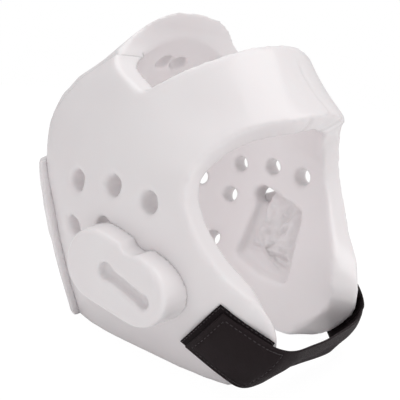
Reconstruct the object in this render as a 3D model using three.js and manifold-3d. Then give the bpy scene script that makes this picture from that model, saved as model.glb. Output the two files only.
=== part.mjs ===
// Foam headgear for taekwondo: a dipped foam wall round the head, open at the face, the top and the neck,
// with a crown panel, a raised rear pad, two ear pads and a chin strap that closes with hook and loop tape.
// Millimetres, +Z up. The face looks along -Y, and the headgear stands on its lower rim.
import * as THREE from "three";
import { mergeVertices } from "three/addons/utils/BufferGeometryUtils.js";
import Module from "manifold-3d";

const wasm = await Module();
wasm.setup();

// Driving dimensions of the foam wall. Lengths along Y run from the line between the ears.
const shellWidth = 196;
const frontReach = 124;
const backReach = 108;
const shellHeight = 233;
const foamWall = 19;
const seamGap = 0.3;

// Vents
const ventDiameter = 14;
const ventSides = 12;

// Rear pad, which stands proud of the wall
const rearPadProud = 5;

// Ear pads. The middle of the rear lobe stands this far out from the widest part of the wall, and the face
// turns this many degrees in towards the front
const earPadProud = 15;
const earPadTurn = 7.5;
const earLobeRadius = 25;
const earPadTaper = 2;
const earPadEdge = 2.5;
const earNotchRadius = 8;
const slotLobeRadius = 5.5;
const slotWaist = 7;
const slotDepth = 7;

// Recess for each ear, cut into the inside of the wall
const earRecessDepth = 11;

// Chin strap and the tape patches that it closes on
const strapWidth = 38;
const strapThickness = 1.5;
const patchWidth = 42;
const tapeThickness = 1.3;

// Fineness of the meshes
const ringPoints = 50;
const ringCount = 18;
const edgeSteps = 36;
const lobeSteps = 11;
const bandAcross = 4;
const sideSteps = 28;
const rearEdgeSteps = 12;
const fullTurn = 360;
// The rings of the wall lie closer together towards the crown, up to the highest one
const ringEase = 0.9;
const highestRing = 0.985;
const turnHalvings = 24;

// Plan sections of the outer surface from the rim to the crown. rise is a share of shellHeight, half of
// half the shellWidth, front of frontReach and back of backReach. The last two are superellipse exponents:
// 2 is round and more is squarer.
const sectionColumns = ["half", "front", "back", "frontSquare", "backSquare", "wall"];
const sections = [
  { rise: -0.12, half: 0.51, front: 0.79, back: 0.907, frontSquare: 4, backSquare: 3.2, wall: 1.1 },
  { rise: 0, half: 0.622, front: 0.871, back: 0.907, frontSquare: 4, backSquare: 3.2, wall: 1.1 },
  { rise: 0.094, half: 0.724, front: 0.984, back: 0.898, frontSquare: 3.8, backSquare: 3, wall: 1.12 },
  { rise: 0.172, half: 0.821, front: 1.016, back: 0.898, frontSquare: 3.2, backSquare: 2.9, wall: 1.12 },
  { rise: 0.223, half: 0.867, front: 1.008, back: 0.894, frontSquare: 2.9, backSquare: 2.8, wall: 1.1 },
  { rise: 0.296, half: 0.929, front: 0.992, back: 0.889, frontSquare: 2.9, backSquare: 2.8, wall: 1.08 },
  { rise: 0.361, half: 0.969, front: 0.976, back: 0.898, frontSquare: 3.2, backSquare: 2.8, wall: 1.06 },
  { rise: 0.446, half: 1, front: 0.952, back: 0.926, frontSquare: 3.6, backSquare: 2.8, wall: 1.05 },
  { rise: 0.528, half: 1, front: 0.935, back: 0.972, frontSquare: 3.7, backSquare: 2.8, wall: 1.04 },
  { rise: 0.588, half: 0.985, front: 0.911, back: 0.995, frontSquare: 3.1, backSquare: 2.75, wall: 1 },
  { rise: 0.644, half: 0.959, front: 0.887, back: 1, frontSquare: 2.35, backSquare: 2.65, wall: 0.97 },
  { rise: 0.7, half: 0.923, front: 0.863, back: 0.977, frontSquare: 1.9, backSquare: 2.5, wall: 0.94 },
  { rise: 0.734, half: 0.903, front: 0.827, back: 0.935, frontSquare: 1.75, backSquare: 2.4, wall: 0.92 },
  { rise: 0.764, half: 0.883, front: 0.746, back: 0.875, frontSquare: 1.85, backSquare: 2.3, wall: 0.92 },
  { rise: 0.803, half: 0.857, front: 0.681, back: 0.741, frontSquare: 1.95, backSquare: 2.1, wall: 0.93 },
  { rise: 0.837, half: 0.811, front: 0.628, back: 0.583, frontSquare: 1.98, backSquare: 1.9, wall: 0.88 },
  { rise: 0.863, half: 0.769, front: 0.6, back: 0.491, frontSquare: 2, backSquare: 1.8, wall: 0.82 },
  { rise: 0.906, half: 0.65, front: 0.556, back: 0.37, frontSquare: 2.05, backSquare: 1.9, wall: 0.77 },
  { rise: 0.94, half: 0.541, front: 0.484, back: 0.287, frontSquare: 2, backSquare: 2, wall: 0.75 },
  { rise: 0.97, half: 0.402, front: 0.363, back: 0.213, frontSquare: 2, backSquare: 2, wall: 0.75 },
  { rise: 0.991, half: 0.232, front: 0.218, back: 0.13, frontSquare: 2, backSquare: 2, wall: 0.75 },
  { rise: 1, half: 0.09, front: 0.081, back: 0.074, frontSquare: 2, backSquare: 2, wall: 0.75 },
];

// Edge of the face opening, from the middle of the brow down to the jaw and under it. turn is the angle
// round from the front in degrees, rise a share of shellHeight.
const faceEdge = [
  { turn: 0, rise: 0.734 },
  { turn: 7.2, rise: 0.725 },
  { turn: 16.6, rise: 0.712 },
  { turn: 28.2, rise: 0.7 },
  { turn: 38.6, rise: 0.677 },
  { turn: 46.3, rise: 0.642 },
  { turn: 51.8, rise: 0.598 },
  { turn: 54.1, rise: 0.531 },
  { turn: 52, rise: 0.463 },
  { turn: 47.5, rise: 0.394 },
  { turn: 42.1, rise: 0.336 },
  { turn: 36, rise: 0.296 },
  { turn: 31.4, rise: 0.265 },
  { turn: 26.8, rise: 0.21 },
  { turn: 25.9, rise: 0.172 },
  { turn: 26, rise: 0.116 },
  { turn: 27.6, rise: 0.06 },
  { turn: 30.6, rise: 0.021 },
  { turn: 34.7, rise: -0.009 },
  { turn: 38.9, rise: -0.052 },
  { turn: 46.2, rise: -0.112 },
];

// Side view of the top opening: the lip of the crown from the notch over each ear up to its highest point.
// back is a share of backReach, rise of shellHeight.
const crownLip = [
  { back: -0.194, rise: 0.755 },
  { back: -0.065, rise: 0.79 },
  { back: 0.056, rise: 0.824 },
  { back: 0.12, rise: 0.858 },
  { back: 0.139, rise: 0.893 },
  { back: 0.13, rise: 0.931 },
  { back: 0.102, rise: 0.957 },
  { back: 0.083, rise: 0.979 },
  { back: 0.069, rise: 1 },
  { back: 0.069, rise: 1.116 },
];
const foreheadTop = { front: 0.563, rise: 0.911 };

// Side view of the seam between the crown panel and the sides
const crownSeam = [
  { back: 0, rise: 0.871 },
  { back: 0.324, rise: 0.807 },
  { back: 0.556, rise: 0.721 },
  { back: 0.741, rise: 0.652 },
  { back: 1.111, rise: 0.56 },
];

// Side view of the rear pad's front edge
const rearPadEdge = [
  { back: 0.657, rise: 0.528 },
  { back: 0.495, rise: 0.408 },
  { back: 0.51, rise: 0.258 },
  { back: 0.574, rise: 0.129 },
  { back: 0.62, rise: 0.017 },
];

// Vents on the sides and in the rear pad, as seen from the side. All vents are mirrored and are drilled
// square to the surface.
const sideVents = [
  { back: 0.184, rise: 0.506 },
  { back: -0.128, rise: 0.515 },
  { back: -0.4025, rise: 0.494 },
  { back: 0.251, rise: 0.369 },
  { back: -0.055, rise: 0.395 },
  { back: 0.302, rise: 0.189 },
];
const rearVents = [
  { back: 0.5975, rise: 0.421 },
  { back: 0.613, rise: 0.27 },
];
// Vents in the crown: turn is the angle round from the front in degrees, rise a share of shellHeight
const crownVents = [
  { turn: 169, rise: 0.892 },
  { turn: 135, rise: 0.77 },
  { turn: 146, rise: 0.735 },
];

// The two lobes of an ear pad as seen from the side. size is a share of earLobeRadius, and slot a share of
// slotLobeRadius for the round end of the listening slot that lies in the lobe.
const earLobes = [
  { back: -0.148, rise: 0.315, size: 1, slot: 1 },
  { back: -0.435, rise: 0.278, size: 0.945, slot: 0.86 },
];
const slotEnds = [
  { back: -0.24, rise: 0.312 },
  { back: -0.495, rise: 0.263 },
];
const earNotch = { back: -0.399, rise: 0.402 };

// Kite shaped recess behind the ear, as seen from the side
const earRecess = [
  { back: -0.056, rise: 0.442 },
  { back: -0.444, rise: 0.378 },
  { back: -0.472, rise: 0.137 },
  { back: -0.269, rise: 0.142 },
  { back: 0.028, rise: 0.185 },
];

// Middle line of the chin strap, from its end on the right jaw round the front to its end on the left jaw.
// lean is the slant in degrees of its width, lift and drawn are shares of strapWidth: how far the middle lies
// outside the form of the head, and how far the lower edge is drawn in.
const strapColumns = ["turn", "rise", "lean", "lift", "drawn"];
const strapRoute = [
  { turn: -47.5, rise: 0.192, lean: -34, lift: 0, drawn: 0 },
  { turn: -40, rise: 0.152, lean: -34, lift: 0, drawn: 0 },
  { turn: -33, rise: 0.114, lean: -33, lift: 0, drawn: 0 },
  { turn: -28, rise: 0.094, lean: -25, lift: 0, drawn: 0 },
  { turn: -23, rise: 0.083, lean: -12, lift: -0.11, drawn: 0.16 },
  { turn: -15, rise: 0.077, lean: -4, lift: -0.24, drawn: 0.26 },
  { turn: -5, rise: 0.073, lean: 0, lift: -0.22, drawn: 0.22 },
  { turn: 5, rise: 0.072, lean: 0, lift: -0.18, drawn: 0.14 },
  { turn: 15, rise: 0.072, lean: 0, lift: -0.13, drawn: 0.06 },
  { turn: 23, rise: 0.074, lean: 5, lift: -0.06, drawn: 0 },
  { turn: 28, rise: 0.085, lean: 19, lift: 0, drawn: 0 },
  { turn: 33, rise: 0.114, lean: 33, lift: 0, drawn: 0 },
  { turn: 40, rise: 0.152, lean: 34, lift: 0, drawn: 0 },
  { turn: 47.5, rise: 0.192, lean: 34, lift: 0, drawn: 0 },
];
// Where the strap and the left patch start and end, counted in rows of strapRoute
const strapSpan = [0.25, 12.75];
const patchSpan = [10.75, 13];
const stepsPerRow = 4;

const foam = { color: 0xf1eff0, roughness: 0.35, metalness: 0 };
const webbing = { color: 0x211c1f, roughness: 0.85, metalness: 0 };

// Solids from meshes, and back

function solidFrom(geometry) {
  geometry.deleteAttribute("normal");
  geometry.deleteAttribute("uv");
  const merged = mergeVertices(geometry, 1e-4);
  return new wasm.Manifold(
    new wasm.Mesh({
      numProp: 3,
      vertProperties: merged.attributes.position.array,
      triVerts: new Uint32Array(merged.index.array),
    }),
  );
}

function meshFrom(solid, name, finish) {
  const { numProp, numVert, vertProperties, triVerts } = solid.getMesh();
  const positions = new Float32Array(numVert * 3);
  for (let i = 0; i < numVert; i++) {
    positions.set(vertProperties.subarray(i * numProp, i * numProp + 3), i * 3);
  }
  const geometry = new THREE.BufferGeometry();
  geometry.setAttribute("position", new THREE.BufferAttribute(positions, 3));
  geometry.setIndex(new THREE.BufferAttribute(triVerts, 1));
  geometry.computeVertexNormals();
  const mesh = new THREE.Mesh(geometry, new THREE.MeshStandardMaterial(finish));
  mesh.name = name;
  return mesh;
}

// Faces over the end of a loft: a fan to its tip, or a strip where the ring runs out and back along a band
function cap(first, count, tip) {
  const faces = [];
  if (tip === undefined) {
    for (let j = 0; j < count / 2 - 1; j++) {
      const near = first + j;
      const far = first + count - 1 - j;
      faces.push(near, near + 1, far - 1, near, far - 1, far);
    }
    return faces;
  }
  for (let i = 0; i < count; i++) faces.push(tip, first + i, first + ((i + 1) % count));
  return faces;
}

// A closed solid through rings of the same number of points, with a tip at both ends or at neither
function loft(rings, tips = []) {
  const count = rings[0].length;
  const positions = [...rings.flat(), ...tips].flatMap((p) => [p.x, p.y, p.z]);
  const total = rings.length * count;
  const [startTip, endTip] = tips.map((_, i) => total + i);
  const faces = [...cap(0, count, startTip).reverse(), ...cap(total - count, count, endTip)];
  for (let low = 0; low < total - count; low += count) {
    const high = low + count;
    for (let i = 0; i < count; i++) {
      const next = (i + 1) % count;
      faces.push(low + i, low + next, high + next, low + i, high + next, high + i);
    }
  }
  const geometry = new THREE.BufferGeometry();
  geometry.setAttribute("position", new THREE.Float32BufferAttribute(positions, 3));
  geometry.setIndex(faces);
  const solid = solidFrom(geometry);
  if (solid.volume() > 0) return solid;
  geometry.setIndex(faces.reverse());
  return solidFrom(geometry);
}

function middleOf(ring) {
  return ring.reduce((sum, p) => sum.add(p), new THREE.Vector3()).divideScalar(ring.length);
}

// The outer surface of the foam wall

const sectionTable = new THREE.CubicInterpolant(
  Float32Array.from(sections, (row) => row.rise),
  Float32Array.from(sections.flatMap((row) => sectionColumns.map((name) => row[name]))),
  sectionColumns.length,
);

function sectionAt(z) {
  const [half, front, back, frontSquare, backSquare, wall] = sectionTable.evaluate(z / shellHeight);
  return {
    half: (half * shellWidth) / 2,
    front: front * frontReach,
    back: back * backReach,
    frontSquare,
    backSquare,
    wall: wall * foamWall,
  };
}

function surfacePoint(turnDegrees, z) {
  const turn = THREE.MathUtils.degToRad(turnDegrees);
  const side = Math.sin(turn);
  const ahead = Math.cos(turn);
  const section = sectionAt(z);
  const square = ahead > 0 ? section.frontSquare : section.backSquare;
  const reach = ahead > 0 ? section.front : section.back;
  const sum = Math.abs(side / section.half) ** square + Math.abs(ahead / reach) ** square;
  const radius = sum ** (-1 / square);
  return new THREE.Vector3(radius * side, -radius * ahead, z);
}

// The direction out of the surface, averaged over spread degrees and spread millimetres to each side
function surfaceNormal(turn, z, spread) {
  const around = surfacePoint(turn + spread, z).sub(surfacePoint(turn - spread, z));
  const up = surfacePoint(turn, z + spread).sub(surfacePoint(turn, z - spread));
  return around.cross(up).normalize();
}

function proudPoint(turn, z, proud, spread = 0.5) {
  return surfacePoint(turn, z).addScaledVector(surfaceNormal(turn, z, spread), proud);
}

// The turn at which the surface lies this far back at a height
function turnAt(back, z) {
  let low = 0;
  let high = fullTurn / 2;
  for (let i = 0; i < turnHalvings; i++) {
    const turn = (low + high) / 2;
    if (surfacePoint(turn, z).y < back * backReach) low = turn;
    else high = turn;
  }
  return low;
}

// The whole closed form, grown outwards by proudAt(z) or shrunk where that is negative
function headForm(proudAt) {
  const lowest = sections[0].rise;
  const rings = [];
  for (let r = 0; r < ringCount; r++) {
    const share = r / (ringCount - 1);
    const eased = Math.sin((share * Math.PI) / 2) ** ringEase;
    const z = (lowest + (highestRing - lowest) * eased) * shellHeight;
    const ring = [];
    for (let i = 0; i < ringPoints; i++) {
      ring.push(proudPoint((fullTurn * i) / ringPoints, z, proudAt(z)));
    }
    rings.push(ring);
  }
  const bottom = new THREE.Vector3(0, 0, rings[0][0].z);
  const top = new THREE.Vector3(0, 0, shellHeight + proudAt(shellHeight));
  return loft(rings, [bottom, top]);
}

// Cutters

// A prism across the whole width from an outline in the side view
function acrossFrom(outline, width = 2 * shellWidth) {
  const shape = new THREE.Shape(outline);
  const geometry = new THREE.ExtrudeGeometry(shape, { depth: width, bevelEnabled: false });
  geometry.translate(0, 0, -width / 2);
  geometry.applyMatrix4(new THREE.Matrix4().set(0, 0, 1, 0, 1, 0, 0, 0, 0, 1, 0, 0, 0, 0, 0, 1));
  return solidFrom(geometry);
}

function sidePoint({ back, rise }) {
  return new THREE.Vector2(back * backReach, rise * shellHeight);
}

function smoothSide(rows, steps = sideSteps) {
  return new THREE.SplineCurve(rows.map(sidePoint)).getPoints(steps);
}

function cylinderAlong(start, end, radius, sides = ventSides) {
  const axis = end.clone().sub(start);
  const geometry = new THREE.CylinderGeometry(radius, radius, axis.length(), sides);
  const turn = new THREE.Quaternion().setFromUnitVectors(new THREE.Vector3(0, 1, 0), axis.clone().normalize());
  geometry.applyQuaternion(turn);
  const middle = start.clone().add(end).multiplyScalar(0.5);
  geometry.translate(middle.x, middle.y, middle.z);
  return solidFrom(geometry);
}

const aboveAll = 1.6 * shellHeight;
const belowAll = -0.5 * shellHeight;

// The face opening, with its walls square to the foam
function faceCutter() {
  const inward = 1.3 * foamWall;
  const outward = 1.4 * foamWall;
  const curve = new THREE.SplineCurve(faceEdge.map(({ turn, rise }) => new THREE.Vector2(turn, rise * shellHeight)));
  const half = curve.getPoints(edgeSteps);
  const loop = [...half, ...half.slice(1).reverse().map((p) => new THREE.Vector2(-p.x, p.y))];
  const evened = 9;
  const rings = [-inward, 0, outward].map((proud) => loop.map((p) => proudPoint(p.x, p.y, proud, evened)));
  const inside = new THREE.Vector3(0, -0.1 * frontReach, 0.3 * shellHeight);
  const outside = new THREE.Vector3(0, -2 * frontReach, 0);
  return loft(rings, [inside, outside]);
}

function topCutter() {
  const lip = smoothSide(crownLip);
  const notch = lip[0];
  const front = new THREE.Vector2(-foreheadTop.front * frontReach, foreheadTop.rise * shellHeight);
  const slope = front.clone().sub(notch);
  const beyond = front.clone().add(slope);
  return acrossFrom([
    ...lip,
    new THREE.Vector2(lip.at(-1).x, aboveAll),
    new THREE.Vector2(beyond.x, aboveAll),
    beyond,
  ]);
}

function crownRegion(gap) {
  const seam = smoothSide(crownSeam).map((p) => new THREE.Vector2(p.x, p.y - gap));
  return acrossFrom([...seam, new THREE.Vector2(seam.at(-1).x, aboveAll), new THREE.Vector2(seam[0].x, aboveAll)]);
}

function mirrored(solid) {
  return solid.mirror([1, 0, 0]);
}

const outer = headForm(() => 0);
const inner = headForm((z) => -sectionAt(z).wall);
const besideOuter = headForm(() => seamGap);

function shellVents() {
  const inward = 1.6 * foamWall;
  const outward = 2 * rearPadProud;
  const cutters = [...sideVents, ...rearVents, ...crownVents].map((vent) => {
    const z = vent.rise * shellHeight;
    const turn = vent.turn ?? turnAt(vent.back, z);
    return cylinderAlong(proudPoint(turn, z, -inward), proudPoint(turn, z, outward), ventDiameter / 2);
  });
  return wasm.Manifold.union(cutters.flatMap((cutter) => [cutter, mirrored(cutter)]));
}

const vents = shellVents();

// Everything below the rim
const belowRim = acrossFrom([
  new THREE.Vector2(-2 * frontReach, belowAll),
  new THREE.Vector2(2 * backReach, belowAll),
  new THREE.Vector2(2 * backReach, 0),
  new THREE.Vector2(-2 * frontReach, 0),
]);

function earRecesses() {
  const floor = headForm((z) => earRecessDepth - sectionAt(z).wall);
  return acrossFrom(earRecess.map(sidePoint)).intersect(floor);
}

// The wall as it is before the crown is parted from the sides
function foamShell() {
  const hollow = wasm.Manifold.union([inner, earRecesses()]);
  return outer.subtract(hollow).subtract(belowRim).subtract(faceCutter()).subtract(topCutter()).subtract(vents);
}

function rearPad() {
  const edge = smoothSide(rearPadEdge, rearEdgeSteps);
  const behind = acrossFrom([
    ...edge,
    new THREE.Vector2(edge.at(-1).x, belowAll),
    new THREE.Vector2(2 * backReach, belowAll),
    new THREE.Vector2(2 * backReach, edge[0].y),
  ]);
  const skin = headForm(() => rearPadProud).subtract(besideOuter);
  return skin.intersect(behind).subtract(belowRim).subtract(vents);
}

// Outline round two circles and their common tangents, as a ring of points at one distance from the middle
function lobedRing(x, circles) {
  const [first, second] = circles;
  const axis = second.centre.clone().sub(first.centre);
  const heading = axis.angle();
  const open = Math.acos((first.radius - second.radius) / axis.length());
  const ring = [];
  const arc = ({ centre, radius }, from, to) => {
    for (let i = 0; i <= lobeSteps; i++) {
      const angle = from + ((to - from) * i) / lobeSteps;
      ring.push(new THREE.Vector3(x, centre.x + radius * Math.cos(angle), centre.y + radius * Math.sin(angle)));
    }
  };
  arc(first, heading + open, heading + 2 * Math.PI - open);
  arc(second, heading - open, heading + open);
  return ring;
}

// A block across X from one lobed outline to the next
function lobedBlock(stations) {
  const rings = stations.map(({ x, circles }) => lobedRing(x, circles));
  return loft(rings, [middleOf(rings[0]), middleOf(rings.at(-1))]);
}

function earPad() {
  const face = shellWidth / 2 + earPadProud;
  const root = 0.3 * shellWidth;
  const lobes = (shrink) =>
    earLobes.map((lobe) => ({ centre: sidePoint(lobe), radius: lobe.size * earLobeRadius - shrink }));
  const block = lobedBlock([
    { x: root, circles: lobes(-earPadTaper) },
    { x: face - earPadEdge, circles: lobes(earPadTaper) },
    { x: face, circles: lobes(earPadTaper + earPadEdge) },
  ]);
  const throughFace = ({ x, y }, radius, from) =>
    cylinderAlong(new THREE.Vector3(from, x, y), new THREE.Vector3(face + slotDepth, x, y), radius);
  const ends = slotEnds.map(sidePoint);
  const waist = ends.map((centre) => ({ centre, radius: slotWaist / 2 }));
  const slot = wasm.Manifold.union([
    ...ends.map((end, i) => throughFace(end, earLobes[i].slot * slotLobeRadius, face - slotDepth)),
    lobedBlock([
      { x: face - slotDepth, circles: waist },
      { x: face + slotDepth, circles: waist },
    ]),
  ]);
  const notch = throughFace(sidePoint(earNotch), earNotchRadius, root);
  const pivot = sidePoint(earLobes[0]).x;
  const turned = block
    .subtract(slot)
    .subtract(notch)
    .translate([-face, -pivot, 0])
    .rotate([0, 0, -earPadTurn])
    .translate([face, pivot, 0]);
  return turned.subtract(besideOuter);
}

const strapTable = new THREE.CubicInterpolant(
  Float32Array.from(strapRoute, (_, station) => station),
  Float32Array.from(strapRoute.flatMap((row) => strapColumns.map((name) => row[name]))),
  strapColumns.length,
);

// A point on the band: station counts rows of strapRoute, across runs up from its middle line
function bandPoint(station, across, proud) {
  const [turn, rise, lean, lift, drawn] = strapTable.evaluate(station);
  const z = rise * shellHeight;
  const perDegree = surfacePoint(turn + 0.5, z).distanceTo(surfacePoint(turn - 0.5, z));
  const perHeight = surfacePoint(turn, z + 0.5).distanceTo(surfacePoint(turn, z - 0.5));
  const slant = THREE.MathUtils.degToRad(lean);
  return proudPoint(
    turn - (across * Math.sin(slant)) / perDegree,
    z + (across * Math.cos(slant)) / perHeight,
    proud + lift * strapWidth + drawn * across,
  );
}

// A flat band along strapRoute over a span of its rows
function band([from, to], width, proud, thickness) {
  const steps = Math.round((to - from) * stepsPerRow);
  const rings = [];
  for (let i = 0; i <= steps; i++) {
    const station = from + ((to - from) * i) / steps;
    const under = [];
    const over = [];
    for (let j = 0; j <= bandAcross; j++) {
      const across = width * (j / bandAcross - 0.5);
      under.push(bandPoint(station, across, proud));
      over.push(bandPoint(station, across, proud + thickness));
    }
    rings.push([...under, ...over.reverse()]);
  }
  return loft(rings);
}

const shell = foamShell();
const pad = earPad();
const patch = band(patchSpan, patchWidth, seamGap, tapeThickness);
const strap = band(strapSpan, strapWidth, 2 * seamGap + tapeThickness, strapThickness);

const group = new THREE.Group();
group.add(meshFrom(shell.subtract(crownRegion(seamGap)), "side_wrap", foam));
group.add(meshFrom(shell.intersect(crownRegion(0)), "crown_panel", foam));
group.add(meshFrom(rearPad(), "rear_pad", foam));
group.add(meshFrom(mirrored(pad), "ear_pad_right", foam));
group.add(meshFrom(pad, "ear_pad_left", foam));
group.add(meshFrom(mirrored(patch), "hook_patch_right", webbing));
group.add(meshFrom(patch, "hook_patch_left", webbing));
group.add(meshFrom(strap, "chin_strap", webbing));

// The origin lies under the middle of the headgear, on the surface that it stands on
const size = new THREE.Box3().setFromObject(group);
group.position.set(-(size.min.x + size.max.x) / 2, -(size.min.y + size.max.y) / 2, -size.min.z);

export default group;
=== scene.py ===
# Looks for the taekwondo headgear: dipped foam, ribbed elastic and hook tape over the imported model.
# Metres, +Z up. The face looks along -Y.
import math

import bmesh
import bpy
from mathutils import Matrix, Vector, noise
from mathutils.bvhtree import BVHTree
from mathutils.kdtree import KDTree


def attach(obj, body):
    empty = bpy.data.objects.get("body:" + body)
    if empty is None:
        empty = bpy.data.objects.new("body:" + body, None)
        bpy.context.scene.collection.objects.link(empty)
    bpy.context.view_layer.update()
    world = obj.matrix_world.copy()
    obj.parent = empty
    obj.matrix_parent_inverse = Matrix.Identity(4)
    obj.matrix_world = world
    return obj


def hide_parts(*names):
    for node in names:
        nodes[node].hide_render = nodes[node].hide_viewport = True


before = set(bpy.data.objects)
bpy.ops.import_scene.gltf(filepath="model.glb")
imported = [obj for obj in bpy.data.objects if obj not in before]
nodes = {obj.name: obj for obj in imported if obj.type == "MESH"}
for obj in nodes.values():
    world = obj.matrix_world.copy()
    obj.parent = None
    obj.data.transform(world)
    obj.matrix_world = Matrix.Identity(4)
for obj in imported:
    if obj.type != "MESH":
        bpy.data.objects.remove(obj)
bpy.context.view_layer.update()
scene = bpy.context.scene
print("frame loaded:", len(nodes), "nodes")


# Small helpers

def linkNew(name, mesh):
    piece = bpy.data.objects.new(name, mesh)
    scene.collection.objects.link(piece)
    return piece


def applyModifiers(piece):
    evaluated = piece.evaluated_get(bpy.context.evaluated_depsgraph_get())
    mesh = bpy.data.meshes.new_from_object(evaluated)
    old = piece.data
    piece.modifiers.clear()
    piece.data = mesh
    mesh.name = piece.name
    bpy.data.meshes.remove(old)


def shadeSmooth(piece):
    for face in piece.data.polygons:
        face.use_smooth = True


mergeDistance = 2e-6


def mergedMesh(nodeName):
    mesh = bmesh.new()
    mesh.from_mesh(nodes[nodeName].data)
    bmesh.ops.remove_doubles(mesh, verts=mesh.verts, dist=mergeDistance)
    return mesh


def easeIn(value, low, high):
    share = min(max((value - low) / (high - low), 0), 1)
    return share * share * (3 - 2 * share)


# Foam pieces. Each is its solid, subdivided over the facets, remeshed finely and rounded at its edges

foamShape = {
    "sharpAngle": math.radians(34),  # an edge bent more than this is a real edge
    "curveLevels": 2,
    "edgeSpacing": 0.001,
    "restingGap": 0.0011,  # an edge this close to its neighbour lies on it
    "restingNear": 0.001,  # from here to restingBand the rounding grows to its full strength
    "restingBand": 0.004,
    "restingShare": 0.35,  # how much of the rounding a resting edge gets
    "leastWeight": 0.002,
    "smoothing": 0.5,
    "unevenness": 0.00035,
    "unevenSize": 0.055,
    "fineWaves": 0.4,
    "fineWaveRate": 2.7,
    "fill": 0.9,  # firm foam
}

foamPieces = {
    "side_wrap": {"name": "sideWrap", "voxel": 0.00178, "rounds": 16},
    "crown_panel": {"name": "crownPanel", "voxel": 0.0014, "rounds": 22},
    "rear_pad": {"name": "rearPad", "voxel": 0.0012, "rounds": 14},
    "ear_pad_left": {"name": "earPadLeft", "voxel": 0.001, "rounds": 20},
    "ear_pad_right": {"name": "earPadRight", "voxel": 0.001, "rounds": 20},
}


def edgePoints(mesh):
    points = []
    for edge in mesh.edges:
        if len(edge.link_faces) != 2 or edge.calc_face_angle(0) < foamShape["sharpAngle"]:
            continue
        start, end = edge.verts[0].co, edge.verts[1].co
        steps = max(1, math.ceil((end - start).length / foamShape["edgeSpacing"]))
        points += [start.lerp(end, i / steps) for i in range(steps + 1)]
    return points


def treeOf(points):
    tree = KDTree(max(1, len(points)))
    for i, point in enumerate(points):
        tree.insert(point, i)
    tree.balance()
    return tree


def addSmoothing(piece, weights, rounds, name):
    group = piece.vertex_groups.new(name=name)
    for i, weight in enumerate(weights):
        if weight > foamShape["leastWeight"]:
            group.add([i], weight, "REPLACE")
    smooth = piece.modifiers.new(name, "SMOOTH")
    smooth.factor = foamShape["smoothing"]
    smooth.iterations = rounds
    smooth.vertex_group = group.name


foamTrees = {}
for nodeName in foamPieces:
    mesh = mergedMesh(nodeName)
    foamTrees[nodeName] = BVHTree.FromBMesh(mesh)
    mesh.free()


def foamPiece(nodeName):
    spec = foamPieces[nodeName]
    mesh = mergedMesh(nodeName)
    points = edgePoints(mesh)
    creased = mesh.edges.layers.float.new("crease_edge")
    for edge in mesh.edges:
        if edge.calc_face_angle(0) > foamShape["sharpAngle"]:
            edge[creased] = 1
    data = bpy.data.meshes.new(spec["name"])
    mesh.to_mesh(data)
    mesh.free()
    piece = linkNew(spec["name"], data)
    curve = piece.modifiers.new("curve", "SUBSURF")
    curve.levels = foamShape["curveLevels"]
    curve.render_levels = foamShape["curveLevels"]
    remesh = piece.modifiers.new("remesh", "REMESH")
    remesh.mode = "VOXEL"
    remesh.voxel_size = spec["voxel"]
    applyModifiers(piece)

    others = [tree for name, tree in foamTrees.items() if name != nodeName]
    resting = []
    for point in points:
        if any(tree.find_nearest(point, foamShape["restingGap"])[0] is not None for tree in others):
            resting.append(point)
    restingTree = treeOf(resting)
    rounded = []
    least = foamShape["restingShare"]
    for vertex in piece.data.vertices:
        away = restingTree.find(vertex.co)[2]
        rounded.append(least + (1 - least) * easeIn(away, foamShape["restingNear"], foamShape["restingBand"]))
    addSmoothing(piece, rounded, spec["rounds"], "rounded")
    applyModifiers(piece)
    piece.vertex_groups.clear()
    print("foam piece", spec["name"], len(piece.data.polygons), "faces,", len(resting), "resting points")
    return piece


foam = {nodeName: foamPiece(nodeName) for nodeName in foamPieces}


# The dip follows the foam's slight waves

def moveAlongNormals(piece, heightAt):
    normals = [vertex.normal.copy() for vertex in piece.data.vertices]
    for vertex, normal in zip(piece.data.vertices, normals):
        vertex.co += normal * heightAt(vertex.co, normal)


def waveAt(place, normal):
    spot = place / foamShape["unevenSize"]
    fine = foamShape["fineWaves"] * noise.noise(spot * foamShape["fineWaveRate"])
    return foamShape["unevenness"] * (noise.noise(spot) + fine)


for piece in foam.values():
    moveAlongNormals(piece, waveAt)
    shadeSmooth(piece)
print("foam waved")


# The dip has pulled into folds on the floor of each ear recess

recess = {
    "outline": [  # y and z of its corners
        (0.0013, 0.103),
        (-0.0407, 0.088),
        (-0.0437, 0.032),
        (-0.0227, 0.034),
        (-0.0077, 0.044),
        (0.0093, 0.042),
    ],
    "outFrom": 0.05,  # its floor lies further out than this and faces inwards
    "facing": -0.02,
    "bottom": 0.03,
    "top": 0.105,
    "inset": 0.003,
    "fade": 0.007,
    "foldHeight": 0.0058,
    "foldSize": 0.017,
    "foldRate": 2.2,
    "foldSharp": 2.4,
    "smallRate": 1.9,
    "smallSharp": 2,
    "smallShare": 0.3,
    "fanFrom": (-0.012, 0.05),  # the folds fan out from here
    "fanWidth": 0.03,
    "fanStretch": 0.35,
    "fanLeft": 0.3,
    "fanRight": 0.7,
}


def insideRecess(y, z):
    nearest = 1
    inside = False
    outline = recess["outline"]
    for (y1, z1), (y2, z2) in zip(outline, outline[1:] + outline[:1]):
        if (z1 > z) != (z2 > z) and y < y1 + (z - z1) * (y2 - y1) / (z2 - z1):
            inside = not inside
        start, line = Vector((y1, z1)), Vector((y2 - y1, z2 - z1))
        share = min(max((Vector((y, z)) - start).dot(line) / line.length_squared, 0), 1)
        nearest = min(nearest, (Vector((y, z)) - start - line * share).length)
    return nearest if inside else -nearest


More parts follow.
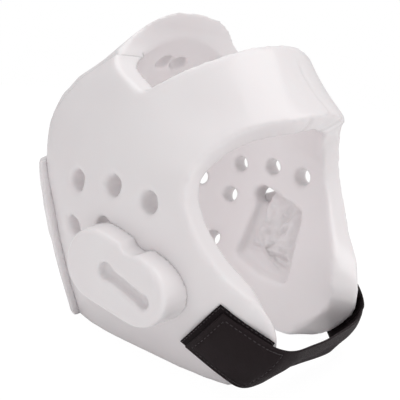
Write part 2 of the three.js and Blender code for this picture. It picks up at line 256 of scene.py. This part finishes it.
def foldAt(place, normal):
    onFloor = abs(place.x) >= recess["outFrom"] and normal.x * place.x <= recess["facing"]
    if not onFloor or not recess["bottom"] < place.z < recess["top"]:
        return 0
    depth = insideRecess(place.y, place.z)
    if depth <= 0:
        return 0
    y, z = place.y - recess["fanFrom"][0], place.z - recess["fanFrom"][1]
    side = recess["fanLeft"] if place.x > 0 else recess["fanRight"]
    bearing = Vector((math.atan2(z, y) * recess["fanWidth"], math.hypot(y, z) * recess["fanStretch"], side))
    fanned = noise.noise(bearing / recess["foldSize"] * recess["foldRate"])
    folds = 1 - abs(fanned) * recess["foldSharp"]
    crumpled = noise.noise(place / recess["foldSize"] * recess["smallRate"])
    small = 1 - abs(crumpled) * recess["smallSharp"]
    fade = easeIn(depth, recess["inset"], recess["inset"] + recess["fade"])
    share = recess["smallShare"]
    return recess["foldHeight"] * fade * ((1 - share) * folds + share * small)


moveAlongNormals(foam["side_wrap"], foldAt)
print("recess folds raised")


# The crown panel and the pads lie close on the wall

restingPads = {
    "crown_panel": {"reach": 0.0026, "sink": 0.0008},
    "rear_pad": {"reach": 0.0016, "sink": 0.0005},
    "ear_pad_left": {"reach": 0.0016, "sink": 0.0005},
    "ear_pad_right": {"reach": 0.0016, "sink": 0.0005},
}
for nodeName, spec in restingPads.items():
    for vertex in foam[nodeName].data.vertices:
        onWall, wallNormal, _, gap = foamTrees["side_wrap"].find_nearest(vertex.co, spec["reach"])
        if onWall is not None:
            pull = 1 - easeIn(gap, spec["reach"] / 2, spec["reach"])
            vertex.co -= wallNormal * (spec["sink"] + gap) * pull
print("pads resting:", len(restingPads))


# Moulded creases in the wall: down the middle of the forehead, and two short ones over the brow

creases = {
    "forehead": {
        "from": (0.0015, -0.0705, 0.203),
        "to": (0.0015, -0.0945, 0.1705),
        "depth": 0.0011,
        "width": 0.0013,
    },
    "browRight": {
        "from": (-0.0215, -0.094, 0.1685),
        "to": (-0.0105, -0.082, 0.1575),
        "depth": 0.0009,
        "width": 0.0013,
    },
    "browLeft": {
        "from": (0.0215, -0.094, 0.1685),
        "to": (0.0105, -0.082, 0.1575),
        "depth": 0.0009,
        "width": 0.0013,
    },
}


creaseFade = {
    "beyond": 0.006,
    "sideways": 0.016,
    "start": (-0.004, 0.003),  # fades in over this stretch, from its start
    "end": (-0.003, 0.004),  # and out over this one, from its end
}


def pressCrease(piece, crease):
    start, end = Vector(crease["from"]), Vector(crease["to"])
    along = end - start
    length = along.length
    along.normalize()

    def depthAt(place, normal):
        offset = place - start
        share = offset.dot(along)
        sideways = offset - along * share
        near = -creaseFade["beyond"] < share < length + creaseFade["beyond"]
        if not near or sideways.length > creaseFade["sideways"]:
            return 0
        across = sideways - normal * sideways.dot(normal)
        fade = easeIn(share, *creaseFade["start"])
        fade *= 1 - easeIn(share - length, *creaseFade["end"])
        return -crease["depth"] * fade * math.exp(-((across.length / crease["width"]) ** 2))

    moveAlongNormals(piece, depthAt)


for crease in creases.values():
    pressCrease(foam["side_wrap"], crease)
print("creases pressed:", len(creases))


# Chin strap and hook patches, laid out anew along the bands of their solids

bandReading = {
    "thinEdge": 0.0019,  # a band's end faces have an edge this short
    "wideEdge": 0.0075,  # and one this long
    "step": 0.002,  # share of the band between points that give its direction
}
bandEdge = {"segments": 2, "angle": math.radians(60)}


def bandColumns(nodeName):
    mesh = mergedMesh(nodeName)
    ends = set()
    for face in mesh.faces:
        lengths = [edge.calc_length() for edge in face.edges]
        if min(lengths) < bandReading["thinEdge"] and max(lengths) > bandReading["wideEdge"]:
            ends.update(face.verts)
    start = max(ends, key=lambda vertex: vertex.co.x)
    ring = {start}
    while True:
        grown = {edge.other_vert(vertex) for vertex in ring for edge in vertex.link_edges}
        grown = {vertex for vertex in grown if vertex in ends} - ring
        if not grown:
            break
        ring |= grown
    rows = []
    seen = set(ring)
    while ring:
        points = sorted((vertex.co.copy() for vertex in ring), key=lambda point: point.z)
        wide = (points[-1] - points[0]).normalized()
        points.sort(key=lambda point: point.dot(wide))
        outer = []
        for i in range(0, len(points) - 1, 2):
            outer.append(max(points[i : i + 2], key=lambda point: point.x ** 2 + point.y ** 2))
        rows.append(outer)
        ring = {edge.other_vert(vertex) for vertex in ring for edge in vertex.link_edges} - seen
        seen |= ring
    mesh.free()
    return rows


def splineAt(points, place):
    i = min(int(place), len(points) - 2)
    t = place - i
    a, b = points[max(i - 1, 0)], points[i]
    c, d = points[i + 1], points[min(i + 2, len(points) - 1)]
    slope = (c - a) * t
    square = (2 * a - 5 * b + 4 * c - d) * t ** 2
    cube = (3 * b - a - 3 * c + d) * t ** 3
    return 0.5 * (2 * b + slope + square + cube)


class Band:
    def __init__(self, nodeName):
        self.rows = bandColumns(nodeName)
        middle = [row[len(row) // 2] for row in self.rows]
        self.length = sum((b - a).length for a, b in zip(middle, middle[1:]))
        across = self.rows[len(self.rows) // 2]
        self.width = sum((b - a).length for a, b in zip(across, across[1:]))

    def pointAt(self, along, across):
        column = across * (len(self.rows[0]) - 1)
        return splineAt([splineAt(row, column) for row in self.nearRows(along)], self.localPlace(along))

    def localPlace(self, along):
        place = along * (len(self.rows) - 1)
        return place - self.firstRow(place)

    def firstRow(self, place):
        return max(0, min(int(place) - 1, len(self.rows) - 4))

    def nearRows(self, along):
        first = self.firstRow(along * (len(self.rows) - 1))
        return self.rows[first : first + 4]

    def axesAt(self, along, across):
        step = bandReading["step"]
        low, high = max(along - step, 0), min(along + step, 1)
        left, right = max(across - step, 0), min(across + step, 1)
        forward = (self.pointAt(high, across) - self.pointAt(low, across)).normalized()
        sideways = (self.pointAt(along, right) - self.pointAt(along, left)).normalized()
        outward = sideways.cross(forward).normalized()
        place = self.pointAt(along, across)
        if outward.dot(Vector((place.x, place.y, 0))) < 0:
            outward.negate()
        return forward, sideways, outward


def bandPiece(band, name, spec):
    mesh = bmesh.new()
    layer = mesh.loops.layers.uv.new("weave")
    # The grid is 1 by 1 round the origin, so a point's place in it is its share of the band
    bmesh.ops.create_grid(mesh, x_segments=spec["along"], y_segments=spec["across"], size=0.5, calc_uvs=False)
    for face in mesh.faces:
        for loop in face.loops:
            loop[layer].uv = ((loop.vert.co.x + 0.5) * band.length, (loop.vert.co.y + 0.5) * band.width)
    for vertex in mesh.verts:
        along, across = vertex.co.x + 0.5, vertex.co.y + 0.5
        _, _, outward = band.axesAt(along, across)
        relief = spec["relief"](along * band.length, across * band.width)
        vertex.co = band.pointAt(along, across) + outward * relief
    data = bpy.data.meshes.new(name)
    mesh.to_mesh(data)
    mesh.free()
    piece = linkNew(name, data)
    centre = data.polygons[len(data.polygons) // 2]
    facesOut = centre.normal.dot(Vector((centre.center.x, centre.center.y, 0))) > 0
    if not facesOut:
        data.flip_normals()
    solid = piece.modifiers.new("thickness", "SOLIDIFY")
    solid.thickness = spec["thickness"]
    solid.offset = -1
    bevel = piece.modifiers.new("edge", "BEVEL")
    bevel.width = spec["edge"]
    bevel.segments = bandEdge["segments"]
    bevel.limit_method = "ANGLE"
    bevel.angle_limit = bandEdge["angle"]
    applyModifiers(piece)
    shadeSmooth(piece)
    return piece


strapShape = {
    "along": 300,
    "across": 22,
    "thickness": 0.0014,
    "edge": 0.0004,
    "stitchInset": 0.0035,
    "boxLength": 0.046,
    "stitchLength": 0.0021,
    "stitchStep": 0.0029,
    "stitchWidth": 0.0006,
    "stitchSink": 0.0001,
    "dentDepth": 0.0003,
    "dentWidth": 0.001,
}
strap = Band("chin_strap")


def boxStitchDistance(along, across):
    inset = strapShape["stitchInset"]
    nearEnd = min(along, strap.length - along)
    beyond = strapShape["boxLength"]
    lines = []
    if inset <= nearEnd <= beyond:
        lines.append(abs(across - inset))
        lines.append(abs(across - (strap.width - inset)))
    if inset <= across <= strap.width - inset:
        lines.append(abs(nearEnd - inset))
        lines.append(abs(nearEnd - beyond))
    return min(lines) if lines else 1


def strapRelief(along, across):
    away = boxStitchDistance(along, across) / strapShape["dentWidth"]
    return -strapShape["dentDepth"] * math.exp(-(away ** 2))


strapShape["relief"] = strapRelief
chinStrap = bandPiece(strap, "chinStrap", strapShape)
print("chin strap:", round(strap.length * 1000), "mm long,", round(strap.width * 1000, 1), "mm wide")


def stitchRun(mesh, band, start, end, spec, lift):
    first = Vector((start[0] / band.length, start[1] / band.width))
    last = Vector((end[0] / band.length, end[1] / band.width))
    span = math.hypot(end[0] - start[0], end[1] - start[1])
    count = max(1, round(span / spec["stitchStep"]))
    for i in range(count):
        place = first.lerp(last, (i + 0.5) / count)
        forward, sideways, outward = band.axesAt(place.x, place.y)
        if abs(end[0] - start[0]) < abs(end[1] - start[1]):
            forward, sideways = sideways, -forward
        turn = Matrix((forward, sideways, outward)).transposed().to_4x4()
        slim = spec["stitchWidth"] / 2
        scale = Matrix.Diagonal((spec["stitchLength"] / 2, slim, slim, 1))
        at = Matrix.Translation(band.pointAt(place.x, place.y) + outward * lift)
        bmesh.ops.create_icosphere(mesh, subdivisions=2, radius=1, matrix=at @ turn @ scale)


def stitching(name, band, boxes, spec, lift):
    mesh = bmesh.new()
    for low, high, left, right in boxes:
        corners = [(low, left), (high, left), (high, right), (low, right)]
        for start, end in zip(corners, corners[1:] + corners[:1]):
            stitchRun(mesh, band, start, end, spec, lift)
    data = bpy.data.meshes.new(name)
    mesh.to_mesh(data)
    mesh.free()
    piece = linkNew(name, data)
    shadeSmooth(piece)
    return piece


inset = strapShape["stitchInset"]
farInset = strap.width - inset
strapBoxes = [
    (inset, strapShape["boxLength"], inset, farInset),
    (strap.length - strapShape["boxLength"], strap.length - inset, inset, farInset),
]
strapStitches = stitching("strapStitches", strap, strapBoxes, strapShape, -strapShape["stitchSink"])
print("strap sewn")

patchShape = {
    "along": 90,
    "across": 60,
    "thickness": 0.00125,
    "edge": 0.0003,
    "border": 0.0026,
    "borderFade": 0.6,  # share of the border that lies fully below the pile
    "seamAt": 0.55,  # share of the border where the stitches run
    "pile": 0.0003,
    "stitchLength": 0.002,
    "stitchStep": 0.0028,
    "stitchWidth": 0.0005,
}


def patchPiece(nodeName, name):
    band = Band(nodeName)

    def relief(along, across):
        toEdge = min(along, band.length - along, across, band.width - across)
        border = patchShape["border"]
        return -patchShape["pile"] * (1 - easeIn(toEdge, border * patchShape["borderFade"], border))

    piece = bandPiece(band, name, {**patchShape, "relief": relief})
    seam = patchShape["border"] * patchShape["seamAt"]
    boxes = [(seam, band.length - seam, seam, band.width - seam)]
    stitches = stitching(name + "Stitches", band, boxes, patchShape, -patchShape["pile"])
    return piece, stitches


patches = {side: patchPiece("hook_patch_" + side, "hookPatch" + side.title()) for side in ("left", "right")}
print("hook patches and stitches made")


# Shared patterns

def newGroup(name, inputs, outputs):
    group = bpy.data.node_groups.new(name, "ShaderNodeTree")
    for label, value in inputs.items():
        kind = "NodeSocketVector" if value is None else "NodeSocketFloat"
        socket = group.interface.new_socket(label, in_out="INPUT", socket_type=kind)
        if value is not None:
            socket.default_value = value
    for label in outputs:
        group.interface.new_socket(label, in_out="OUTPUT", socket_type="NodeSocketFloat")
    return group, group.nodes.new("NodeGroupInput"), group.nodes.new("NodeGroupOutput")


def addNode(tree, kind, **settings):
    node = tree.nodes.new(kind)
    for name, value in settings.items():
        setattr(node, name, value)
    return node


def addMath(tree, operation, first, second=None, clamp=False):
    node = addNode(tree, "ShaderNodeMath", operation=operation, use_clamp=clamp)
    for i, value in enumerate((first, second)):
        if value is None:
            continue
        if isinstance(value, (int, float)):
            node.inputs[i].default_value = value
        else:
            tree.links.new(value, node.inputs[i])
    return node.outputs[0]


def addNoise(tree, vector, scale, detail, roughness=0.5):
    node = addNode(tree, "ShaderNodeTexNoise")
    tree.links.new(vector, node.inputs["Vector"])
    if isinstance(scale, (int, float)):
        node.inputs["Scale"].default_value = scale
    else:
        tree.links.new(scale, node.inputs["Scale"])
    node.inputs["Detail"].default_value = detail
    node.inputs["Roughness"].default_value = roughness
    return node.outputs[0]


skinPattern = {
    "cloudDetail": 3,
    "poreDetail": 2,
    "poreRoughness": 0.6,
    "poreShare": 0.35,
    "rippleRate": 14,  # ripples for each cloud
    "rippleDetail": 2,
}


def buildSkinGroup():
    inputs = {"Vector": None, "Cloud Size": 9.0, "Pore Size": 900.0}
    group, given, result = newGroup("dippedSkin", inputs, ["Cloud", "Grain"])
    vector = given.outputs["Vector"]
    cloud = addNoise(group, vector, given.outputs["Cloud Size"], skinPattern["cloudDetail"])
    pores = addNoise(
        group, vector, given.outputs["Pore Size"], skinPattern["poreDetail"], skinPattern["poreRoughness"]
    )
    rippleSize = addMath(group, "MULTIPLY", given.outputs["Cloud Size"], skinPattern["rippleRate"])
    ripples = addNoise(group, vector, rippleSize, skinPattern["rippleDetail"])
    poreShare = skinPattern["poreShare"]
    finePart = addMath(group, "MULTIPLY", pores, poreShare)
    grain = addMath(group, "ADD", finePart, addMath(group, "MULTIPLY", ripples, 1 - poreShare))
    group.links.new(cloud, result.inputs["Cloud"])
    group.links.new(grain, result.inputs["Grain"])
    return group


weavePattern = {
    "ribShare": 0.6,
    "fuzzSize": 2600,
    "fuzzDetail": 2,
    "fuzzRoughness": 0.7,
    "fuzzShare": 0.5,
}


def buildWeaveGroup():
    inputs = {"Vector": None, "Ribs": 900.0, "Picks": 1400.0}
    group, given, result = newGroup("ribWeave", inputs, ["Height", "Thread"])
    split = addNode(group, "ShaderNodeSeparateXYZ")
    group.links.new(given.outputs["Vector"], split.inputs[0])
    turn = 2 * math.pi
    ribCount = addMath(group, "MULTIPLY", split.outputs["Y"], given.outputs["Ribs"])
    ribPhase = addMath(group, "MULTIPLY", ribCount, turn)
    pickCount = addMath(group, "MULTIPLY", split.outputs["X"], given.outputs["Picks"])
    pickPhase = addMath(group, "MULTIPLY", pickCount, turn)
    rib = addMath(group, "SINE", ribPhase)
    halfStep = addMath(group, "MULTIPLY", addMath(group, "SIGN", rib), math.pi / 2)
    shifted = addMath(group, "ADD", pickPhase, halfStep)
    pick = addMath(group, "SINE", shifted)
    ribShare = weavePattern["ribShare"]
    ridge = addMath(group, "MULTIPLY", addMath(group, "ABSOLUTE", rib), ribShare)
    height = addMath(group, "ADD", ridge, addMath(group, "MULTIPLY", pick, 1 - ribShare))
    fuzz = addNoise(
        group,
        given.outputs["Vector"],
        weavePattern["fuzzSize"],
        weavePattern["fuzzDetail"],
        weavePattern["fuzzRoughness"],
    )
    fuzzShare = weavePattern["fuzzShare"]
    fuzzPart = addMath(group, "MULTIPLY", fuzz, fuzzShare)
    thread = addMath(group, "ADD", addMath(group, "MULTIPLY", height, 1 - fuzzShare), fuzzPart, clamp=True)
    group.links.new(height, result.inputs["Height"])
    group.links.new(thread, result.inputs["Thread"])
    return group


skinGroup = buildSkinGroup()
weaveGroup = buildWeaveGroup()


def startMaterial(name, settings):
    material = bpy.data.materials.new(name)
    material.use_nodes = True
    tree = material.node_tree
    tree.nodes.clear()
    shader = tree.nodes.new("ShaderNodeBsdfPrincipled")
    output = tree.nodes.new("ShaderNodeOutputMaterial")
    tree.links.new(shader.outputs["BSDF"], output.inputs["Surface"])
    for label, value in settings.items():
        shader.inputs[label].default_value = value
    return material, tree, shader


def placeGroup(tree, group, vector, **values):
    node = addNode(tree, "ShaderNodeGroup", node_tree=group)
    tree.links.new(vector, node.inputs["Vector"])
    for label, value in values.items():
        node.inputs[label.replace("_", " ")].default_value = value
    return node


def mixColours(tree, factor, low, high):
    node = addNode(tree, "ShaderNodeMix", data_type="RGBA")
    tree.links.new(factor, node.inputs["Factor"])
    node.inputs["A"].default_value = (*low, 1)
    node.inputs["B"].default_value = (*high, 1)
    return node.outputs["Result"]


def remap(tree, value, low, high, toLow, toHigh):
    node = addNode(tree, "ShaderNodeMapRange", interpolation_type="SMOOTHSTEP")
    tree.links.new(value, node.inputs["Value"])
    for label, number in {"From Min": low, "From Max": high, "To Min": toLow, "To Max": toHigh}.items():
        node.inputs[label].default_value = number
    return node.outputs["Result"]


def bumpFrom(tree, height, strength, distance):
    node = addNode(tree, "ShaderNodeBump")
    node.inputs["Strength"].default_value = strength
    node.inputs["Distance"].default_value = distance
    tree.links.new(height, node.inputs["Height"])
    return node.outputs["Normal"]


vinylLook = {
    "pale": (0.905, 0.888, 0.892),
    "rosy": (0.868, 0.838, 0.846),
    "cloudSpan": (0.22, 0.78),
    "grainDepth": 0.00012,
    "settings": {
        "Coat Weight": 0.55,
        "Coat Roughness": 0.13,
        "IOR": 1.47,
        "Subsurface Weight": 0.12,
        "Subsurface Radius": (0.006, 0.0045, 0.0042),
        "Subsurface Scale": 1.0,
    },
}


def vinylMaterial(name, cloudSize, roughLow, roughHigh, bump):
    material, tree, shader = startMaterial(name, vinylLook["settings"])
    place = tree.nodes.new("ShaderNodeTexCoord").outputs["Object"]
    skin = placeGroup(tree, skinGroup, place, Cloud_Size=cloudSize)
    cloud = remap(tree, skin.outputs["Cloud"], *vinylLook["cloudSpan"], 0, 1)
    tint = mixColours(tree, cloud, vinylLook["rosy"], vinylLook["pale"])
    grain = bumpFrom(tree, skin.outputs["Grain"], bump, vinylLook["grainDepth"])
    tree.links.new(tint, shader.inputs["Base Color"])
    tree.links.new(remap(tree, cloud, 0, 1, roughHigh, roughLow), shader.inputs["Roughness"])
    tree.links.new(grain, shader.inputs["Normal"])
    return material


wovenLook = {
    "roughSpread": 0.1,
    "threadDepth": 0.00025,
    "settings": {
        "Sheen Roughness": 0.32,
        "Sheen Tint": (0.62, 0.56, 0.58, 1),
        "Specular IOR Level": 0.22,
    },
}


def wovenMaterial(name, dark, light, ribs, picks, roughness, bump, sheen):
    material, tree, shader = startMaterial(name, {**wovenLook["settings"], "Sheen Weight": sheen})
    place = tree.nodes.new("ShaderNodeUVMap")
    place.uv_map = "weave"
    weave = placeGroup(tree, weaveGroup, place.outputs["UV"], Ribs=ribs, Picks=picks)
    threads = weave.outputs["Thread"]
    rough = remap(tree, threads, 0, 1, roughness + wovenLook["roughSpread"], roughness)
    raised = bumpFrom(tree, weave.outputs["Height"], bump, wovenLook["threadDepth"])
    tree.links.new(mixColours(tree, threads, dark, light), shader.inputs["Base Color"])
    tree.links.new(rough, shader.inputs["Roughness"])
    tree.links.new(raised, shader.inputs["Normal"])
    return material


threadLook = {
    "dark": (0.012, 0.008, 0.01),
    "light": (0.046, 0.036, 0.04),
    "strandSize": 1800,
    "strandDetail": 2,
    "strandSpan": (0.3, 0.7),
    "roughSpan": (0.45, 0.65),
    "settings": {"Sheen Weight": 0.15},
}


def threadMaterial():
    material, tree, shader = startMaterial("sewingThread", threadLook["settings"])
    place = tree.nodes.new("ShaderNodeTexCoord").outputs["Object"]
    strands = addNoise(tree, place, threadLook["strandSize"], threadLook["strandDetail"])
    rough = remap(tree, strands, *threadLook["strandSpan"], *threadLook["roughSpan"])
    tint = mixColours(tree, strands, threadLook["dark"], threadLook["light"])
    tree.links.new(tint, shader.inputs["Base Color"])
    tree.links.new(rough, shader.inputs["Roughness"])
    return material


wallVinyl = vinylMaterial("dippedFoamWall", cloudSize=9, roughLow=0.3, roughHigh=0.39, bump=0.35)
padVinyl = vinylMaterial("dippedFoamPads", cloudSize=14, roughLow=0.31, roughHigh=0.4, bump=0.35)
elastic = wovenMaterial(
    "ribbedElastic",
    dark=(0.006, 0.003, 0.004),
    light=(0.017, 0.009, 0.0105),
    ribs=780,
    picks=1200,
    roughness=0.62,
    bump=0.5,
    sheen=0.08,
)
hookTape = wovenMaterial(
    "hookTape",
    dark=(0.004, 0.002, 0.003),
    light=(0.012, 0.006, 0.0075),
    ribs=520,
    picks=520,
    roughness=0.78,
    bump=0.9,
    sheen=0.03,
)
thread = threadMaterial()


def finishPiece(piece, material, replaced=()):
    piece.data.materials.clear()
    piece.data.materials.append(material)
    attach(piece, "root")
    if replaced:
        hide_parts(*replaced)


for nodeName, piece in foam.items():
    vinyl = wallVinyl if nodeName in ("side_wrap", "crown_panel") else padVinyl
    finishPiece(piece, vinyl, (nodeName,))
finishPiece(chinStrap, elastic, ("chin_strap",))
finishPiece(strapStitches, thread)
for side, (patch, stitches) in patches.items():
    finishPiece(patch, hookTape, ("hook_patch_" + side,))
    finishPiece(stitches, thread)
print("materials placed")


# Camera at the photograph's angle

view = {
    "place": (-0.3194, -0.2561, 0.1830),
    "right": (0.64162, -0.76413, 0.06656),
    "up": (0.11300, 0.18000, 0.97716),
    "lens": 50.7,
    "sensor": 36,
    "nearest": 0.01,
}
right, up = Vector(view["right"]).normalized(), Vector(view["up"]).normalized()
back = right.cross(up).normalized()
up = back.cross(right)
camera = bpy.data.objects.new("camera", bpy.data.cameras.new("camera"))
scene.collection.objects.link(camera)
turned = Matrix((right, up, back)).transposed().to_4x4()
camera.matrix_world = Matrix.Translation(view["place"]) @ turned
camera.data.lens = view["lens"]
camera.data.sensor_width = view["sensor"]
camera.data.clip_start = view["nearest"]
scene.camera = camera
print("camera placed")


# Studio: a pale floor, soft lights and a bright surround

studio = {
    "floorSize": 12,
    "floorDark": (0.95, 0.95, 0.95),
    "floorLight": (0.97, 0.97, 0.97),
    "floorCloudSize": 0.8,
    "floorCloudDetail": 2,
    "floorRoughness": (0.6, 0.7),
    "floorSettings": {"Specular IOR Level": 0.2},
    "floorGlow": 0.9,
    "floorShine": 1.06,
    "surround": (0.60, 0.583, 0.588, 1),
    "backdrop": (1.0, 1.0, 1.0, 1),
    "aim": (0, 0, 0.1),
    "lights": {
        "key": {"at": (0.25, -1.0, 1.3), "size": 1.3, "power": 6.6, "tint": (1, 0.99, 0.985)},
        "top": {"at": (0.1, 0.25, 1.6), "size": 1.6, "power": 5.0, "tint": (1, 1, 1)},
        "side": {"at": (-1.4, -0.1, 0.7), "size": 1.0, "power": 1, "tint": (1, 0.97, 0.97)},
    },
    # a soft lamp inside the shell
    "fill": {"at": (0, 0.005, 0.105), "size": 0.06, "power": 0.06, "tint": (1, 0.97, 0.975)},
}

floorMesh = bmesh.new()
bmesh.ops.create_grid(floorMesh, x_segments=4, y_segments=4, size=studio["floorSize"] / 2)
floorData = bpy.data.meshes.new("floor")
floorMesh.to_mesh(floorData)
floorMesh.free()
floor = linkNew("floor", floorData)
floorPaint, floorTree, floorShader = startMaterial("paleFloor", studio["floorSettings"])
floorPlace = floorTree.nodes.new("ShaderNodeTexCoord").outputs["Object"]
floorCloud = addNoise(floorTree, floorPlace, studio["floorCloudSize"], studio["floorCloudDetail"])
floorTint = mixColours(floorTree, floorCloud, studio["floorDark"], studio["floorLight"])
floorRough = remap(floorTree, floorCloud, 0, 1, *studio["floorRoughness"])
floorTree.links.new(floorTint, floorShader.inputs["Base Color"])
floorTree.links.new(floorRough, floorShader.inputs["Roughness"])
# The camera sees the floor mostly as bright as the backdrop, with a faint shadow left on it
floorGlow = floorTree.nodes.new("ShaderNodeEmission")
floorGlow.inputs["Strength"].default_value = studio["floorShine"]
floorSeen = floorTree.nodes.new("ShaderNodeLightPath")
floorShare = addMath(floorTree, "MULTIPLY", floorSeen.outputs["Is Camera Ray"], studio["floorGlow"])
floorMix = floorTree.nodes.new("ShaderNodeMixShader")
floorTree.links.new(floorShare, floorMix.inputs["Fac"])
floorTree.links.new(floorShader.outputs[0], floorMix.inputs[1])
floorTree.links.new(floorGlow.outputs[0], floorMix.inputs[2])
floorTree.links.new(floorMix.outputs[0], floorTree.nodes["Material Output"].inputs["Surface"])
floor.data.materials.append(floorPaint)


def addLamp(name, kind, spec):
    lamp = bpy.data.lights.new(name, kind)
    lamp.energy = spec["power"]
    lamp.color = spec["tint"]
    holder = bpy.data.objects.new(name, lamp)
    holder.visible_camera = False
    holder.location = spec["at"]
    aim = Vector(studio["aim"]) - Vector(spec["at"])
    holder.rotation_euler = aim.to_track_quat("-Z", "Y").to_euler()
    scene.collection.objects.link(holder)
    return holder


for name, spec in studio["lights"].items():
    softbox = addLamp(name, "AREA", spec)
    softbox.data.shape = "DISK"
    softbox.data.size = spec["size"]
fill = addLamp("fill", "POINT", studio["fill"])
fill.data.shadow_soft_size = studio["fill"]["size"]
fill.visible_glossy = False

world = bpy.data.worlds.new("studio")
world.use_nodes = True
scene.world = world
worldTree = world.node_tree
worldTree.nodes.clear()
surround = worldTree.nodes.new("ShaderNodeBackground")
surround.inputs["Color"].default_value = studio["surround"]
backdrop = worldTree.nodes.new("ShaderNodeBackground")
backdrop.inputs["Color"].default_value = studio["backdrop"]
seen = worldTree.nodes.new("ShaderNodeLightPath")
mixed = worldTree.nodes.new("ShaderNodeMixShader")
worldTree.links.new(seen.outputs["Is Camera Ray"], mixed.inputs["Fac"])
worldTree.links.new(surround.outputs[0], mixed.inputs[1])
worldTree.links.new(backdrop.outputs[0], mixed.inputs[2])
worldOut = worldTree.nodes.new("ShaderNodeOutputWorld")
worldTree.links.new(mixed.outputs[0], worldOut.inputs["Surface"])
scene.view_settings.view_transform = "Standard"
print("studio set")
